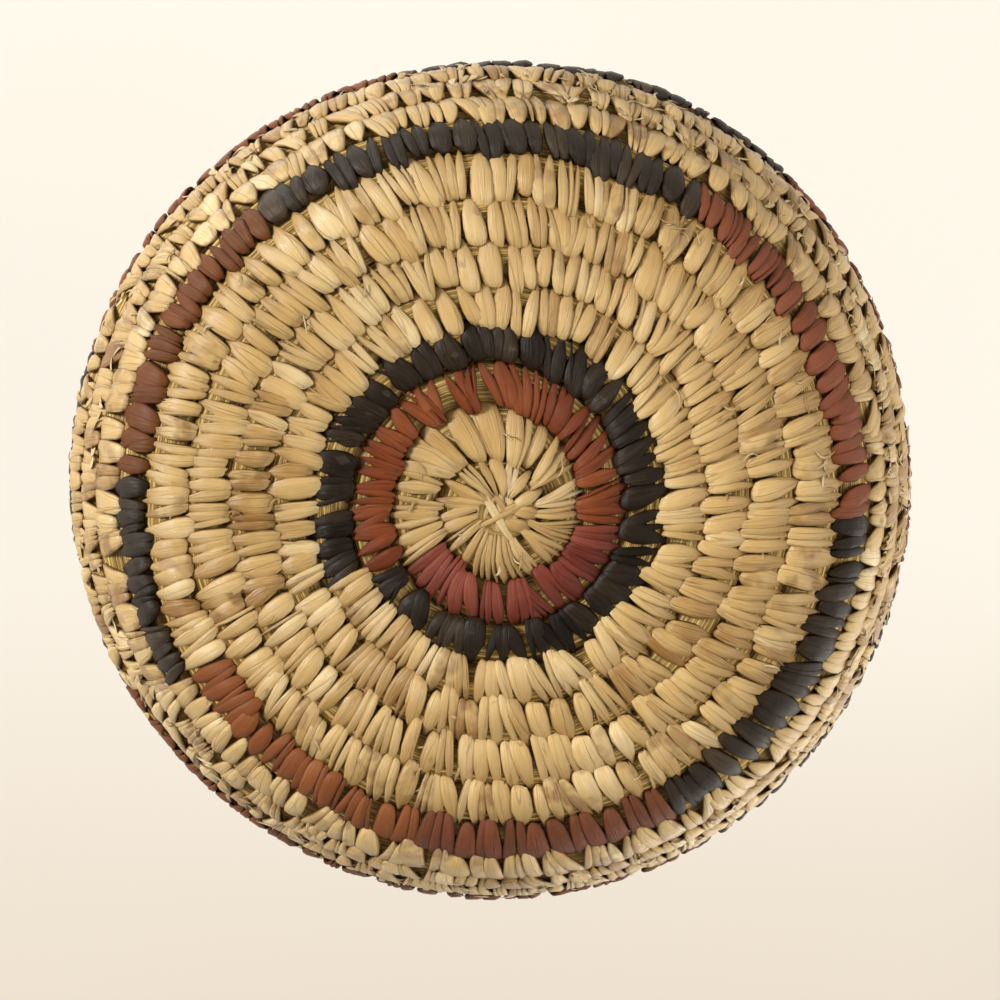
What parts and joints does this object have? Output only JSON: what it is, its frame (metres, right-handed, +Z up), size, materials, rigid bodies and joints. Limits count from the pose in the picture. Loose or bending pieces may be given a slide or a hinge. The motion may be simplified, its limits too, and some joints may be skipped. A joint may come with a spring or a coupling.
{
  "type": "coiled basket",
  "caption": "Shallow round coiled basket: a grass bundle wound into a bowl and sewn with leaf strips, with dark and red rings and banded rows.",
  "frame": {"origin": "middle of the underside of the flat base, on the plane that the basket stands on", "axes": "+Z up out of the bowl's mouth; the line where every ring of colour starts points to -X +Y, 151 degrees from +X"},
  "size_m": [0.204, 0.2044, 0.061],
  "materials": {
    "natural_strips": "dry pale leaf strips, satin, streaked along the strip",
    "grass_bundle": "fine yellow-brown grass stems, matte",
    "maroon_strips": "dyed leaf strips, purple red, satin",
    "brick_red_strips": "dyed leaf strips, brick red, satin",
    "dark_strips": "dyed leaf strips, charcoal, satin"
  },
  "bodies": {
    "root": {"foundation_coil": "grass_bundle", "start_knot": "natural_strips", "row_01_natural": "natural_strips", "row_02_natural": "natural_strips", "ring_03_maroon": "maroon_strips", "ring_03_brick": "brick_red_strips", "ring_04_dark": "dark_strips", "row_05_natural": "natural_strips", "row_06_natural": "natural_strips", "row_07_natural": "natural_strips", "row_08_natural": "natural_strips", "shoulder_band_1_brick": "brick_red_strips", "shoulder_band_1_maroon": "maroon_strips", "shoulder_band_2_dark": "dark_strips", "shoulder_band_3_red": "maroon_strips", "shoulder_band_4_dark": "dark_strips", "shoulder_band_5_red": "brick_red_strips", "shoulder_band_6_dark": "dark_strips", "row_10_natural": "natural_strips", "row_11_natural": "natural_strips", "row_12_natural": "natural_strips", "wall_band_1_red": "brick_red_strips", "wall_band_2_dark": "dark_strips", "wall_band_3_red": "maroon_strips", "wall_band_4_dark": "dark_strips", "wall_band_5_red": "brick_red_strips", "wall_band_6_dark": "dark_strips", "rim_row_natural": "natural_strips", "rim_tail_natural": "natural_strips", "tail_binding": "natural_strips"}
  },
  "joints": []
}
